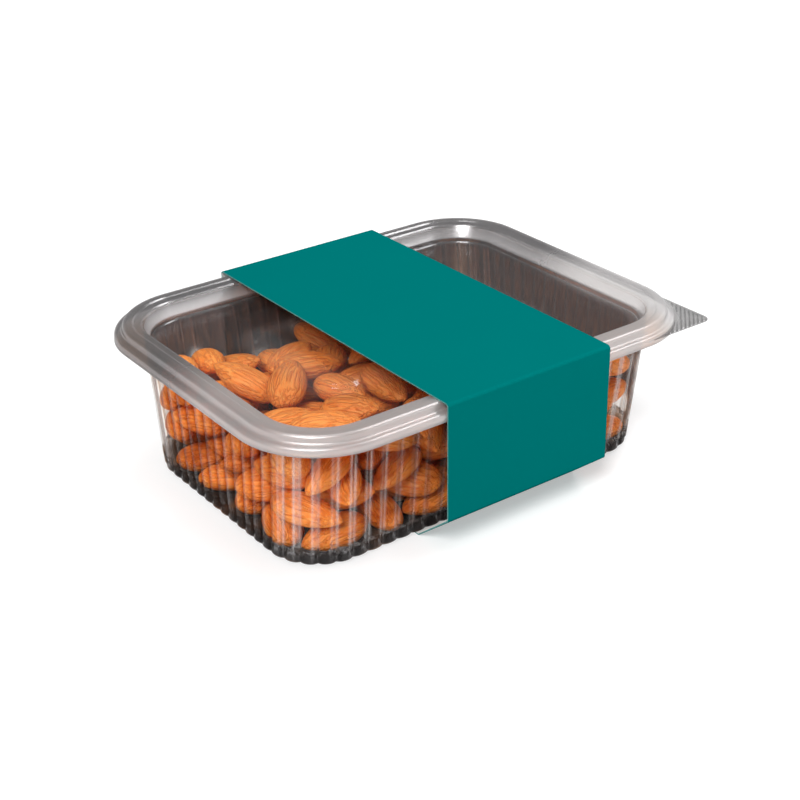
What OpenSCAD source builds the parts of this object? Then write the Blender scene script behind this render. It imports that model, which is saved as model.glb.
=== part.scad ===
// Clear hinged clamshell pack of almonds with a folded card sleeve.
// The tray's base lies level, the rim's long side runs along X and the hinge is at the back, on +Y.
// The origin is on the sleeve's bottom face, under the middle of the pack.

/* [Clamshell] */
// Length of the pack over its closed rim
pack_l = 162; // [145:1:190]
// Width of the pack over its closed rim
pack_w = 125.6; // [110:0.2:150]
// Radius of the rim's corners, seen from above
corner_r = 28; // [25:1:34]
// Thickness of the formed plastic sheet
sheet_t = 0.4; // [0.3:0.05:0.5]
// Gap between the lid's rim and the tray's rim where they nest
nest_gap = 0.15; // [0.1:0.05:0.25]

/* [Tray] */
// Height of the reeded wall, from the underside of the base to the shoulder
wall_h = 44.4; // [38:0.2:60]
// How far the wall's crests stand in from the rim's edge, under the shoulder
wall_inset = 9.4; // [9:0.1:11]
// How far each end wall leans out from base to shoulder
end_lean = 1.1; // [0.5:0.1:4]
// How far each long wall leans out from base to shoulder
side_lean = 5; // [2:0.5:8]
// Width of one upright reed in the wall
reed_pitch = 5.6; // [4.5:0.1:8]
// Depth of the grooves between the reeds
reed_depth = 0.9; // [0.4:0.1:1.2]
// Bevel at the foot of the wall
foot_bevel = 0.8; // [0.4:0.1:1.6]

/* [Rim] */
// Height of the lid's flange above the tray's shoulder
flange_z = 3.2; // [2.8:0.1:5]
// Width of the flange outside the raised ridge
flange_w = 2.4; // [1.8:0.1:3]
// Height of the down-turned skirt at the rim's edge
skirt_h = 2.7; // [1.8:0.1:3.2]
// How far the lid's ridge rises above its flange
ridge_h = 2.6; // [1.5:0.1:4]
// Width of the ridge's flat top
ridge_w = 3.2; // [2.5:0.1:4]
// Width of the sloping ledge inside the ridge
ledge_w = 2.6; // [2:0.1:3.5]
// Drop from the ridge to the ledge
ledge_drop = 0.5; // [0.3:0.1:1]
// Slope of the rim's upright faces, measured across
rim_draft = 0.4; // [0.2:0.1:0.6]

/* [Lid] */
// Depth of the lid's panel below the ridge
recess_h = 6.8; // [6.4:0.1:9]
// Gap between the recess's wall and the tray's shoulder that it plugs into
plug_gap = 0.3; // [0.2:0.05:0.8]
// Length of the raised label field in the panel
field_l = 85; // [60:1:100]
// Width of the raised label field in the panel
field_w = 49; // [30:1:60]
// Corner radius of the label field
field_r = 8.5; // [5:0.5:12]
// Height of the label field above the panel
field_h = 1; // [0.6:0.1:1.5]
// Length of the living hinge along the back of the rim
hinge_l = 98; // [60:1:105]

/* [Opening tab] */
// Height of the tab's top below the lid's flange
tab_drop = 1.3; // [0.8:0.1:2]
// How far the tab's edges stand in from the rim's outermost lines
tab_inset = 0.2; // [0.1:0.1:1]
// Radius of the tab's tip
tab_r = 2.6; // [1.5:0.1:4]
// Distance between the grip ribs
rib_pitch = 1.35; // [1:0.05:2]
// Height of the grip ribs above the tab
rib_h = 0.35; // [0.2:0.05:0.5]

/* [Sleeve] */
// Width of the card sleeve along the pack
sleeve_w = 63.5; // [30:0.5:90]
// Offset of the sleeve's middle from the middle of the pack
sleeve_x = 3.5; // [-15:0.5:15]
// Thickness of the card
card_t = 0.4; // [0.3:0.05:0.6]
// Sliding gap between the card and the pack
slide_gap = 0.15; // [0.1:0.05:0.5]
// Height of the lower folds above the underside of the base
fold_z = 11.6; // [6:0.2:20]
// Radius of the folds, on the outside
fold_r = 1.2; // [0.8:0.1:2.5]
// Width of the glued lap on the back's lower panel
lap_w = 11; // [6:0.5:14]

/* [Almonds] */
// Length of an average almond
almond_l = 22.4; // [19:0.2:26]
// Width of an average almond
almond_w = 12.8; // [11:0.2:15]
// Thickness of an average almond
almond_t = 9.2; // [8:0.2:11]
// Spread of the almonds' sizes, as a share of the average
size_spread = 0.08; // [0:0.01:0.12]
// Number of almonds that are poured
almond_count = 230; // [60:10:240]
// Gap kept round each almond
almond_gap = 0.07; // [0.05:0.01:0.3]
// How far the heap falls away towards the right end
heap_fall_end = 22; // [0:1:26]
// How far the heap falls away towards the back wall
heap_fall_back = 9; // [0:1:16]
// Seed of the pour
pour_seed = 17; // [1:1:50]

/* [Hidden] */
$fn = 48;

// Heights, from the sleeve's bottom face up
base_z = card_t + slide_gap;
shoulder_z = base_z + wall_h;
flange_top = shoulder_z + flange_z;
ridge_top = flange_top + ridge_h;
panel_z = ridge_top - recess_h;

// Tray wall, seen from above at the height of the shoulder
wall_x = pack_l / 2 - wall_inset;
wall_y = pack_w / 2 - wall_inset;
wall_r = corner_r - wall_inset;
reeds_end = round(2 * (wall_y - wall_r) / reed_pitch);
reeds_side = round(2 * (wall_x - wall_r) / reed_pitch);
reeds_corner = round(PI / 2 * wall_r / reed_pitch);
reed_points = 4;
reed_power = 2.5;
fold_steps = 4;

// Rim sections: each point is [distance in from the rim's edge, height]
skirt_in = rim_draft / 2;
ridge_in = skirt_in + flange_w;
ledge_in = ridge_in + rim_draft + ridge_w;
recess_in = ledge_in + rim_draft + ledge_w;
foot_in = wall_inset + reed_depth + sheet_t + nest_gap;
plug_in = foot_in + plug_gap + sheet_t;
plug_z = max(shoulder_z, panel_z + rim_draft) + 2 * sheet_t;
panel_in = plug_in + rim_draft;
panel_lap = 1.5;
lid_line = [
  [0, flange_top - skirt_h],
  [skirt_in, flange_top],
  [ridge_in, flange_top],
  [ridge_in + rim_draft, ridge_top],
  [ledge_in, ridge_top],
  [ledge_in + rim_draft, ridge_top - ledge_drop],
  [recess_in, ridge_top - ledge_drop],
  [plug_in, plug_z],
  [plug_in, panel_z + rim_draft],
  [panel_in, panel_z],
  [panel_in + panel_lap, panel_z]
];
nested = offset_line(lid_line, sheet_t + nest_gap);
tray_line = [
  for (i = [0 : 6]) nested[i],
  [nested[6].x, shoulder_z + sheet_t],
  [foot_in, shoulder_z + sheet_t]
];

// Almond: sides and rings of its surface, how far these stand out so that the flats lie on the round
// form, and how much slimmer it is towards its tip
almond_sides = 8;
almond_rings = [for (a = [144 : -36 : 36]) cos(a)];
almond_swell = 1.07;
tip_taper = 0.1;

// Pour: places tried for each almond, and its largest tilt as it is dropped
tries = 12;
pour_tilt = 24;
// Roll: first and last step, steps allowed, directions tried, smallest fall that counts, pull outwards
roll_first = 5;
roll_last = 0.6;
roll_moves = 10;
roll_turn = 60;
roll_gain = 0.02;
roll_outwards = 0.15;
roll_reach = 22;
// Contact: size ratios tried between two almonds, angles and passes tried at the wall
contact_ratios = [0.6, 0.8, 1, 1.25, 1.6];
wall_turn = 22.5;
wall_passes = 3;
heap_clear = 1;

// Unit vectors along a vector, and to the right of the way from one point to another
function unit(v) = v / norm(v);
function right_of(a, b) = let (d = unit(b - a)) [d.y, -d.x];

// Line moved sideways to its right by a distance, with mitred corners
function offset_line(line, t) = [
  for (i = [0 : len(line) - 1])
    let (
      first = right_of(line[max(i - 1, 0)], line[max(i, 1)]),
      next = right_of(line[min(i, len(line) - 2)], line[min(i + 1, len(line) - 1)])
    )
    line[i] + t * (first + next) / (1 + first * next)
];

// Closed section of a sheet whose outer face follows a line
function sheet_section(line, t) =
  let (inner = offset_line(line, t))
  concat(line, [for (i = [len(inner) - 1 : -1 : 0]) inner[i]]);

// Section carried round a rounded rectangle, its first coordinate measured in from the edge
module around(l, w, r) {
  for (side = [0 : 3]) {
    across = side % 2 == 0 ? l : w;
    along = side % 2 == 0 ? w : l;
    rotate(90 * side) {
      translate([across / 2, 0, 0]) rotate([90, 0, 0])
        linear_extrude(along - 2 * r, center = true) mirror([1, 0]) children();
      translate([across / 2 - r, along / 2 - r, 0])
        rotate_extrude(angle = 90) translate([r, 0]) mirror([1, 0]) children();
    }
  }
}

module rounded_rect(l, w, r) {
  square([l - 2 * r, w], center = true);
  square([l, w - 2 * r], center = true);
  for (x = [-1, 1], y = [-1, 1])
    translate([x * (l / 2 - r), y * (w / 2 - r)]) circle(r);
}

// Depth below the crest across one reed, from one groove's bottom at 0 to the next one's at 1
function groove(t) = reed_depth * pow(abs(2 * t - 1), reed_power);

// One level of the reeded wall: half sizes and corner radius of the crests' outline, and its height
function wall_ring(hx, hy, r, z) = [
  for (side = [0 : 3])
    let (
      out = side % 2 == 0 ? hx : hy,
      run = (side % 2 == 0 ? hy : hx) - r,
      n = (side % 2 == 0 ? reeds_end : reeds_side) * reed_points,
      m = reeds_corner * reed_points
    )
    for (i = [0 : n + m - 1])
      let (
        t = (i % reed_points) / reed_points,
        a = i < n ? 0 : 90 * (i - n) / m,
        d = -groove(t),
        x = i < n ? out + d : out - r + (r + d) * cos(a),
        y = i < n ? run * (2 * i / n - 1) : run + (r + d) * sin(a),
        c = [1, 0, -1, 0][side],
        s = [0, 1, 0, -1][side]
      )
      [c * x - s * y, s * x + c * y, z]
];

// Solid skinned over rings of equal length, closed at each end by a fan round the ring's middle
module skin(rings) {
  n = len(rings[0]);
  last = (len(rings) - 1) * n;
  middle = len(rings) * n;
  points = [for (ring = rings) each ring, [0, 0, rings[0][0].z], [0, 0, rings[len(rings) - 1][0].z]];
  polyhedron(points, [
    for (i = [0 : n - 1])
      let (j = (i + 1) % n)
      each concat(
        [[middle, i, j], [middle + 1, last + j, last + i]],
        [for (k = [0 : n : last - n]) each [[k + i, k + n + j, k + j], [k + i, k + n + i, k + n + j]]]
      )
  ]);
}

// Level of the wall at a height above the base's underside, moved in by a distance
function level(h, in) =
  let (down = 1 - h / wall_h)
  wall_ring(wall_x - end_lean * down - in, wall_y - side_lean * down - in, wall_r - in, base_z + h);

module tray_wall() {
  top = wall_h + sheet_t / 2;
  skin([
    level(0, foot_bevel),
    level(foot_bevel, 0),
    level(top, 0),
    level(top, sheet_t),
    level(foot_bevel + sheet_t / 2, sheet_t),
    level(sheet_t, foot_bevel + sheet_t / 2)
  ]);
}

module tray_rim() {
  around(pack_l, pack_w, corner_r) polygon(sheet_section(tray_line, sheet_t));
}

module lid() {
  around(pack_l, pack_w, corner_r) polygon(sheet_section(lid_line, sheet_t));
  difference() {
    translate([0, 0, panel_z - sheet_t]) linear_extrude(sheet_t)
      rounded_rect(pack_l - 2 * panel_in - panel_lap, pack_w - 2 * panel_in - panel_lap,
        corner_r - panel_in - panel_lap / 2);
    translate([0, 0, panel_z - 2 * sheet_t]) linear_extrude(3 * sheet_t)
      rounded_rect(field_l - 2 * sheet_t, field_w - 2 * sheet_t, field_r - sheet_t);
  }
  difference() {
    translate([0, 0, panel_z - sheet_t]) linear_extrude(field_h + sheet_t)
      rounded_rect(field_l, field_w, field_r);
    translate([0, 0, panel_z - 2 * sheet_t]) linear_extrude(field_h + sheet_t)
      rounded_rect(field_l - 2 * sheet_t, field_w - 2 * sheet_t, field_r - sheet_t);
  }
}

// Fold that joins the two flanges along the back, and the gap cut in both skirts for it
hinge_r = (2 * sheet_t + nest_gap) / 2;
hinge_cut = 2 * hinge_r + rim_draft;

module hinge_gap() {
  translate([-hinge_l / 2, pack_w / 2 - hinge_cut, shoulder_z])
    cube([hinge_l, 2 * hinge_cut, flange_z + ridge_h]);
}

module hinge() {
  translate([0, pack_w / 2 - hinge_r, flange_top - hinge_r]) rotate([90, 0, 90])
    linear_extrude(hinge_l, center = true) {
      difference() {
        circle(hinge_r);
        circle(nest_gap / 2);
        translate([-2 * hinge_r, -hinge_r]) square([2 * hinge_r, 2 * hinge_r]);
      }
      for (z = [-hinge_r, nest_gap / 2])
        translate([-hinge_cut, z]) square([hinge_cut, sheet_t]);
    }
}

// Square-cornered outline of the opening tab, outside the rim's round corner
module tab_outline(in) {
  difference() {
    translate([pack_l / 2 - corner_r, -pack_w / 2 + tab_inset + in])
      square([corner_r - tab_inset - in, corner_r]);
    translate([pack_l / 2 - tab_r - tab_inset - in, -pack_w / 2 + tab_inset + in])
      square([tab_r, tab_r]);
    rounded_rect(pack_l - sheet_t + 2 * in, pack_w - sheet_t + 2 * in, corner_r - sheet_t / 2 + in);
  }
  translate([pack_l / 2 - tab_r - tab_inset, -pack_w / 2 + tab_r + tab_inset]) circle(tab_r - in);
}

module tab() {
  tab_top = flange_top - tab_drop;
  ribs = floor((sqrt(2) - 1) * corner_r / rib_pitch) - 2;
  translate([0, 0, tab_top - sheet_t]) linear_extrude(sheet_t) tab_outline(0);
  translate([0, 0, tab_top - sheet_t]) linear_extrude(sheet_t + rib_h) intersection() {
    tab_outline(rib_h);
    translate([pack_l / 2 - corner_r, -pack_w / 2 + corner_r]) rotate(-45)
      for (i = [1 : ribs])
        translate([corner_r + i * rib_pitch, -corner_r / 2]) square([rib_pitch / 2, corner_r]);
  }
}

module clamshell() {
  color([0.9, 0.93, 0.94, 0.35]) {
    tray_wall();
    difference() {
      union() {
        tray_rim();
        lid();
      }
      hinge_gap();
    }
    hinge();
    tab();
  }
}

// Closed outline with each corner rounded by its own arc, in a few short steps
function rounded(points, r, steps) = [
  for (i = [0 : len(points) - 1])
    let (
      p = points[i],
      a = unit(points[(i + len(points) - 1) % len(points)] - p),
      b = unit(points[(i + 1) % len(points)] - p),
      half = acos(a * b) / 2,
      mid = p + unit(a + b) * r / sin(half),
      from = atan2(p.y - mid.y, p.x - mid.x) - (90 - half),
      turn = 180 - 2 * half
    )
    for (k = [0 : steps]) mid + r * [cos(from + turn * k / steps), sin(from + turn * k / steps)]
];

// Faces of the pack that the sleeve runs along, seen from the end, anticlockwise from the back
sleeve_side = pack_w / 2 + slide_gap;
sleeve_foot = wall_y - side_lean + slide_gap;
sleeve_inner = [
  [sleeve_side, base_z + fold_z],
  [sleeve_side, ridge_top + slide_gap],
  [-sleeve_side, ridge_top + slide_gap],
  [-sleeve_side, base_z + fold_z],
  [-sleeve_foot, card_t],
  [sleeve_foot, card_t]
];

// Closed outline moved outwards by a distance
function grown(points, t) = [
  for (i = [0 : len(points) - 1])
    let (
      p = points[i],
      first = right_of(points[(i + len(points) - 1) % len(points)], p),
      next = right_of(p, points[(i + 1) % len(points)])
    )
    p + t * (first + next) / (1 + first * next)
];

module sleeve() {
  outer = grown(sleeve_inner, card_t);
  foot = outer[5];
  along = unit(outer[0] - foot);
  lap = [for (p = [[0, -card_t / 2], [lap_w, -card_t / 2], [lap_w, card_t], [0, card_t]])
    foot + (2 * fold_r + p.x) * along + p.y * right_of(foot, outer[0])];
  color([0.01, 0.47, 0.46])
    translate([sleeve_x, 0, 0]) rotate([90, 0, 90]) {
      linear_extrude(sleeve_w, center = true) difference() {
        polygon(rounded(outer, fold_r, fold_steps));
        polygon(rounded(sleeve_inner, fold_r - card_t, fold_steps));
      }
      linear_extrude(sleeve_w, center = true) polygon(lap);
    }
}

// Turn of an almond, from its roll, pitch and yaw
function turned(a) =
  let (cx = cos(a.x), sx = sin(a.x), cy = cos(a.y), sy = sin(a.y), cz = cos(a.z), sz = sin(a.z))
  [
    [cz * cy, cz * sy * sx - sz * cx, cz * sy * cx + sz * sx],
    [sz * cy, sz * sy * sx + cz * cx, sz * sy * cx - cz * sx],
    [-sy, cy * sx, cy * cx]
  ];

// Matrix of the ellipsoid round an almond of the given half sizes and turn
function hull_matrix(half, turn) =
  let (r = turned(turn), scaled = [for (row = r) [row.x * half.x, row.y * half.y, row.z * half.z]])
  [for (a = scaled) [for (b = scaled) a * b]];

// Height of an ellipsoid's upper face at an offset from its centre, or far below where it has none
function top_at(q, d) =
  let (
    det = q[0][0] * q[1][1] - q[0][1] * q[0][1],
    u = [q[1][1] * d.x - q[0][1] * d.y, q[0][0] * d.y - q[0][1] * d.x] / det,
    v = [q[1][1] * q[0][2] - q[0][1] * q[1][2], q[0][0] * q[1][2] - q[0][1] * q[0][2]] / det,
    reach = 1 - (u.x * d.x + u.y * d.y)
  )
  reach <= 0 ? -1000
    : u.x * q[0][2] + u.y * q[1][2] + sqrt((q[2][2] - v.x * q[0][2] - v.y * q[1][2]) * reach);

// Height between the centres when one almond comes to rest on another
function rest_height(a, b, d) =
  min([for (k = contact_ratios) top_at((1 + 1 / k) * a + (1 + k) * b, d)]);

// Height at which an almond dropped at a place comes to rest
function drop(q, p, heap) =
  let (ex = sqrt(q[0][0]), ey = sqrt(q[1][1]))
  max([
    base_z + sheet_t + almond_gap + sqrt(q[2][2]),
    for (other = heap)
      let (d = [p.x - other[0].x, p.y - other[0].y])
      if (abs(d.x) < ex + other[3].x && abs(d.y) < ey + other[3].y)
        other[0].z + rest_height(q, other[2], d)
  ]);

// How far an almond stands out of the tray at a height, with the direction in which it does
function outside(q, p, z) =
  let (
    down = 1 - (z - base_z) / wall_h,
    in = reed_depth + sheet_t + almond_gap,
    hx = wall_x - end_lean * down - wall_r,
    hy = wall_y - side_lean * down - wall_r,
    over = [
      for (a = [0 : wall_turn : 90])
        let (n = [p.x < 0 ? -cos(a) : cos(a), p.y < 0 ? -sin(a) : sin(a)])
        [
          p * n + sqrt(n.x * n.x * q[0][0] + 2 * n.x * n.y * q[0][1] + n.y * n.y * q[1][1])
            - hx * abs(n.x) - hy * abs(n.y) - wall_r + in,
          n
        ]
    ],
    most = max([for (o = over) o[0]])
  )
  [for (o = over) if (o[0] == most) o][0];

// Place moved in until the almond is inside the tray's wall
function inside(q, p, z, n = wall_passes) =
  n == 0 ? p
    : let (o = outside(q, p, z))
      o[0] <= 0 ? p : inside(q, p - o[0] * o[1], z, n - 1);

// How little an almond still has to roll at a place: its height, less its pull towards the wall
function lean(p, z) = z - roll_outwards * norm([p.x * wall_y / wall_x, p.y]);

// Place and height reached when an almond rolls down and outwards from a place, in ever smaller steps
function settle(q, p, z, near, step, left) =
  left == 0 || step < roll_last ? [p, z]
    : let (
        ez = sqrt(q[2][2]),
        moves = [
          for (a = [0 : roll_turn : 360 - roll_turn])
            let (to = inside(q, p + step * [cos(a), sin(a)], z - ez), rest = drop(q, to, near))
            [lean(to, rest), to, rest]
        ],
        low = min([for (m = moves) m[0]]),
        best = [for (m = moves) if (m[0] == low) m][0]
      )
      low < lean(p, z) - roll_gain ? settle(q, best[1], best[2], near, step, left - 1)
        : settle(q, p, z, near, step / 2, left - 1);

// Smooth step from nought to one
function smooth(t) = let (s = min(max(t, 0), 1)) s * s * (3 - 2 * s);

// Height that the heap may reach at a place: it stays high along the front wall
function heap_top(p) =
  panel_z - sheet_t - heap_clear
    - heap_fall_end * smooth((p.x / wall_x - 0.5) / 0.5) * smooth((p.y / wall_y + 1) / 0.8)
    - heap_fall_back * smooth((p.y / wall_y - 0.3) / 0.7);

// One try at a place for the next almond: [height against the heap's top, height, place, turn, matrix]
function try_place(heap, r, half) =
  let (
    turn = [pour_tilt * (2 * r[0] - 1), pour_tilt * (2 * r[1] - 1), 360 * r[2]],
    q = hull_matrix(half, turn),
    rough = [wall_x * (2 * r[3] - 1), wall_y * (2 * r[4] - 1)],
    p = inside(q, rough, base_z + wall_h * len(heap) / almond_count),
    z = drop(q, p, heap)
  )
  [z - heap_top(p), z, p, turn, q];

// Heap of almonds, poured one after another: [place, turn, matrix, reach, half sizes]
function pour(n, heap) =
  n == 0 ? heap
    : let (
        r = rands(0, 1, 5 * tries + 1, pour_seed * 1000 + n),
        size = 1 + size_spread * (2 * r[5 * tries] - 1),
        half = [almond_l, almond_w, almond_t] * size / 2,
        places = [for (k = [0 : tries - 1]) try_place(heap, [for (i = [0 : 4]) r[5 * k + i]], half)],
        deepest = min([for (place = places) place[0]]),
        chosen = [for (place = places) if (place[0] == deepest) place][0],
        low = chosen[1],
        start = chosen[2],
        q = chosen[4],
        reach = [sqrt(q[0][0]), sqrt(q[1][1]), sqrt(q[2][2])],
        near = [
          for (other = heap)
            if (norm([start.x - other[0].x, start.y - other[0].y]) < 2 * roll_reach
                && other[0].z > low - roll_reach) other
        ],
        down = settle(q, start, low, near, roll_first, roll_moves),
        p = down[0],
        z = drop(q, p, heap) + almond_gap,
        fits = z + reach.z < heap_top(p) && outside(q, p, z - reach.z)[0] < almond_gap / 2
      )
      pour(n - 1, fits ? concat(heap, [[[p.x, p.y, z], chosen[3], q, reach, half]]) : heap);

// Pointed, flattened almond inside an ellipsoid of the given half sizes
module almond(half) {
  n = almond_sides;
  rings = [
    for (u = almond_rings)
      let (w = almond_swell * sqrt(1 - u * u) * (1 - tip_taper * (1 + u) / 2))
      for (i = [0 : n - 1])
        [half.x * u, half.y * w * cos(360 * i / n), half.z * w * sin(360 * i / n)]
  ];
  last = len(rings);
  polyhedron(
    concat(rings, [[-half.x, 0, 0], [half.x, 0, 0]]),
    [
      for (i = [0 : n - 1])
        let (j = (i + 1) % n)
        each concat(
          [[last, i, j], [last + 1, last - n + j, last - n + i]],
          [for (k = [0 : n : last - 2 * n]) each [[k + i, k + n + i, k + j], [k + j, k + n + i, k + n + j]]]
        )
    ]
  );
}

module almonds() {
  color([0.78, 0.45, 0.26])
    for (place = pour(almond_count, []))
      translate(place[0]) rotate(place[1]) almond(place[4]);
}

clamshell();
sleeve();
almonds();
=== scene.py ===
import math

import bpy
import numpy as np
from mathutils import Matrix, Vector


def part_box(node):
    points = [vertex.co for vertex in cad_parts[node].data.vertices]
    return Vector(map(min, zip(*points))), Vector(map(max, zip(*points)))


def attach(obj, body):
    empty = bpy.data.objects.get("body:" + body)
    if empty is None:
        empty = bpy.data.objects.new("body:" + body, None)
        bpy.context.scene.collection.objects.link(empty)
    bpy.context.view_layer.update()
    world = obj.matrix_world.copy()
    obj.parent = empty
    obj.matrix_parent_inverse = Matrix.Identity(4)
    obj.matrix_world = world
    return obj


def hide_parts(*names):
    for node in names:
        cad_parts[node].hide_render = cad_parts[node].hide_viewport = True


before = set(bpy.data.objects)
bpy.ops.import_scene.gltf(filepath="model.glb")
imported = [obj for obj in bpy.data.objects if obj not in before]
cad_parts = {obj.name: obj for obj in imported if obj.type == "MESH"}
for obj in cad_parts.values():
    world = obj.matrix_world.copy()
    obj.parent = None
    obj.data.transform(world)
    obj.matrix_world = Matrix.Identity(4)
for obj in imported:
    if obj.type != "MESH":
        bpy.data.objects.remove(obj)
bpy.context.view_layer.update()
mm = 0.001
print("frame loaded")


# Node helpers

def newMaterial(name):
    # An empty node material and its tree
    material = bpy.data.materials.new(name)
    material.use_nodes = True
    material.node_tree.nodes.clear()
    return material, material.node_tree


def addNode(tree, kind, inputs=None, **settings):
    # One node: a socket given for an input is linked to it, any other value is set on the input itself
    node = tree.nodes.new(kind)
    for key, value in settings.items():
        setattr(node, key, value)
    for key, value in (inputs or {}).items():
        if isinstance(value, bpy.types.NodeSocket):
            tree.links.new(value, node.inputs[key])
        else:
            node.inputs[key].default_value = value
    return node


def mathNode(tree, operation, a, b=0.0, c=0.0):
    # The operation on a and b, and on c where it takes three values: MULTIPLY_ADD is a times b plus c
    return addNode(tree, "ShaderNodeMath", {0: a, 1: b, 2: c}, operation=operation).outputs[0]


def mixColour(tree, factor, a, b, blend="MIX"):
    # Colour a taken towards b, or towards a times b, by the factor
    node = addNode(tree, "ShaderNodeMix", data_type="RGBA", blend_type=blend)
    for index, value in ((0, factor), (6, a), (7, b)):
        if isinstance(value, bpy.types.NodeSocket):
            tree.links.new(value, node.inputs[index])
        else:
            node.inputs[index].default_value = value
    return node.outputs[2]


def ramp(tree, value, stops):
    # Colour between the two stops on either side of the value
    node = addNode(tree, "ShaderNodeValToRGB", {0: value})
    band = node.color_ramp
    while len(band.elements) < len(stops):
        band.elements.new(0.5)
    for element, (place, colour) in zip(band.elements, stops):
        element.position = place
        element.color = (*colour, 1)
    return node.outputs[0]


def finishMaterial(tree, shader):
    # The shader becomes the surface
    addNode(tree, "ShaderNodeOutputMaterial", {0: shader})


# Mesh helpers

def faceList(*parts):
    # The faces of several arrays of point numbers as one list
    return [tuple(face) for part in parts for face in part]


def meshPiece(name, points, faces, material, body, smooth=True):
    # A mesh from points in millimetres and lists of their numbers, which rides on its body
    mesh = bpy.data.meshes.new(name)
    mesh.from_pydata(points.reshape(-1, 3) * mm, [], faces)
    mesh.polygons.foreach_set("use_smooth", np.full(len(mesh.polygons), smooth))
    mesh.materials.append(material)
    piece = bpy.data.objects.new(name, mesh)
    bpy.context.scene.collection.objects.link(piece)
    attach(piece, body)
    return piece


def gridFaces(rows, columns, closed=True):
    # Quads between neighbouring rows of a grid; a closed grid joins its last column to its first
    row = np.arange(rows - 1)[:, None] * columns
    column = np.arange(columns if closed else columns - 1)[None, :]
    after = (column + 1) % columns
    quads = np.stack([row + column, row + after, row + columns + after, row + columns + column], -1)
    return quads.reshape(-1, 4)


def fanFaces(ring, middle, flip=False):
    # Triangles from a ring of indices to its middle point
    after = np.roll(ring, -1)
    pair = (after, ring) if flip else (ring, after)
    return np.stack([*pair, np.full(len(ring), middle)], -1)


def filletLine(points, radii, steps):
    # Each inner corner of a line becomes a circular arc between its tangent points on the two legs
    points = np.array(points, float)
    rounded = [points[0]]
    for before, corner, after, radius in zip(points, points[1:], points[2:], radii):
        a, b = before - corner, after - corner
        la, lb = np.linalg.norm(a), np.linalg.norm(b)
        a, b = a / la, b / lb
        half = math.acos(np.clip(a @ b, -1, 1)) / 2
        reach = min(radius / math.tan(half), 0.48 * la, 0.48 * lb)
        radius = reach * math.tan(half)
        middle = corner + (a + b) / np.linalg.norm(a + b) * radius / math.sin(half)
        first, last = corner + a * reach - middle, corner + b * reach - middle
        turn = math.atan2(first[0] * last[1] - first[1] * last[0], first @ last)
        for angle in np.linspace(0, turn, steps + 1):
            c, s = math.cos(angle), math.sin(angle)
            rounded.append(middle + [c * first[0] - s * first[1], s * first[0] + c * first[1]])
    rounded.append(points[-1])
    return np.array(rounded)


def thicken(piece):
    # Sheet = the surface and its copy, moved back along the normals by the sheet's thickness
    solid = piece.modifiers.new("sheet", "SOLIDIFY")
    solid.thickness = pack["sheet"] * mm
    solid.offset = -1
    solid.use_quality_normals = True


# Sizes of the pack, in millimetres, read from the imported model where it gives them

low, high = (np.array(corner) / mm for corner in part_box("clamshell"))
sleeveLow, sleeveHigh = (np.array(corner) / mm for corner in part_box("sleeve"))
pack = {
    "halfX": -low[0],
    "halfY": -low[1],
    "cornerR": 28.0,
    "sheet": 0.4,
    "gap": 0.15,
    "baseZ": low[2],
    "topZ": high[2],
}
rim = {
    "skirt": 2.7,
    "flange": 2.4,
    "ridgeW": 3.2,
    "ridgeH": 2.6,
    "ledgeW": 2.6,
    "ledgeDrop": 0.5,
    "draft": 0.4,
    "recess": 6.8,
}
wall = {
    "inset": 9.4,
    "endLean": 1.1,
    "sideLean": 5.0,
    "pitch": 5.6,
    "depth": 0.9,
    "power": 2.5,
    "height": 44.4,
    "bevel": 0.8,
    "pointsPerReed": 10,
}
flangeTop = pack["topZ"] - rim["ridgeH"]
shoulderZ = pack["baseZ"] + wall["height"]
panelZ = pack["topZ"] - rim["recess"]
wallR = pack["cornerR"] - wall["inset"]
wallX = pack["halfX"] - wall["inset"]
wallY = pack["halfY"] - wall["inset"]


def columnsAround(counts, perCount):
    # Columns round a rounded rectangle: each side's straight run, then the corner after it. Gives the side,
    # the place along the run from -1 to 1, the corner's angle, and the phase within one reed.
    side, run, angle, phase = [], [], [], []
    for index, (straight, corner) in enumerate(counts):
        n, m = straight * perCount, corner * perCount
        side += [index] * (n + m)
        run += list(-1 + 2 * np.arange(n) / n) + [1.0] * m
        angle += [0.0] * n + list(math.pi / 2 * np.arange(m) / m)
        phase += list((np.arange(n + m) % perCount) / perCount)
    return {"side": np.array(side), "run": np.array(run), "angle": np.array(angle), "phase": np.array(phase)}


def ringsAround(columns, halfX, halfY, radius, z, inward=0.0):
    # Point = corner centre + radius along the column's direction, turned to its side; inward moves it
    # along that direction. Each ring's values broadcast over all the columns.
    halfX, halfY, radius, z = (np.asarray(v, float)[:, None] for v in (halfX, halfY, radius, z))
    even = columns["side"] % 2 == 0
    out = np.where(even, halfX, halfY) - radius
    along = (np.where(even, halfY, halfX) - radius) * columns["run"]
    reach = radius - inward
    x = out + reach * np.cos(columns["angle"])
    y = along + reach * np.sin(columns["angle"])
    turn = columns["side"] * math.pi / 2
    c, s = np.round(np.cos(turn)), np.round(np.sin(turn))
    z = np.broadcast_to(z, x.shape)
    return np.stack([c * x - s * y, s * x + c * y, z], -1)


def rimRings(columns, line):
    # A section line of (inset, height) carried round the rim
    inset, z = line[:, 0], line[:, 1]
    return ringsAround(columns, pack["halfX"] - inset, pack["halfY"] - inset, pack["cornerR"] - inset, z)


def offsetLine(points, distance):
    # Every point moves to the line's right along the mitre of its two neighbouring legs
    points = np.array(points, float)
    legs = np.diff(points, axis=0)
    legs /= np.linalg.norm(legs, axis=1)[:, None]
    right = np.stack([legs[:, 1], -legs[:, 0]], 1)
    first = np.vstack([right[:1], right])
    last = np.vstack([right, right[-1:]])
    return points + distance * (first + last) / (1 + (first * last).sum(1))[:, None]


# The rim's section: (distance in from the edge, height), from the lip inwards

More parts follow.
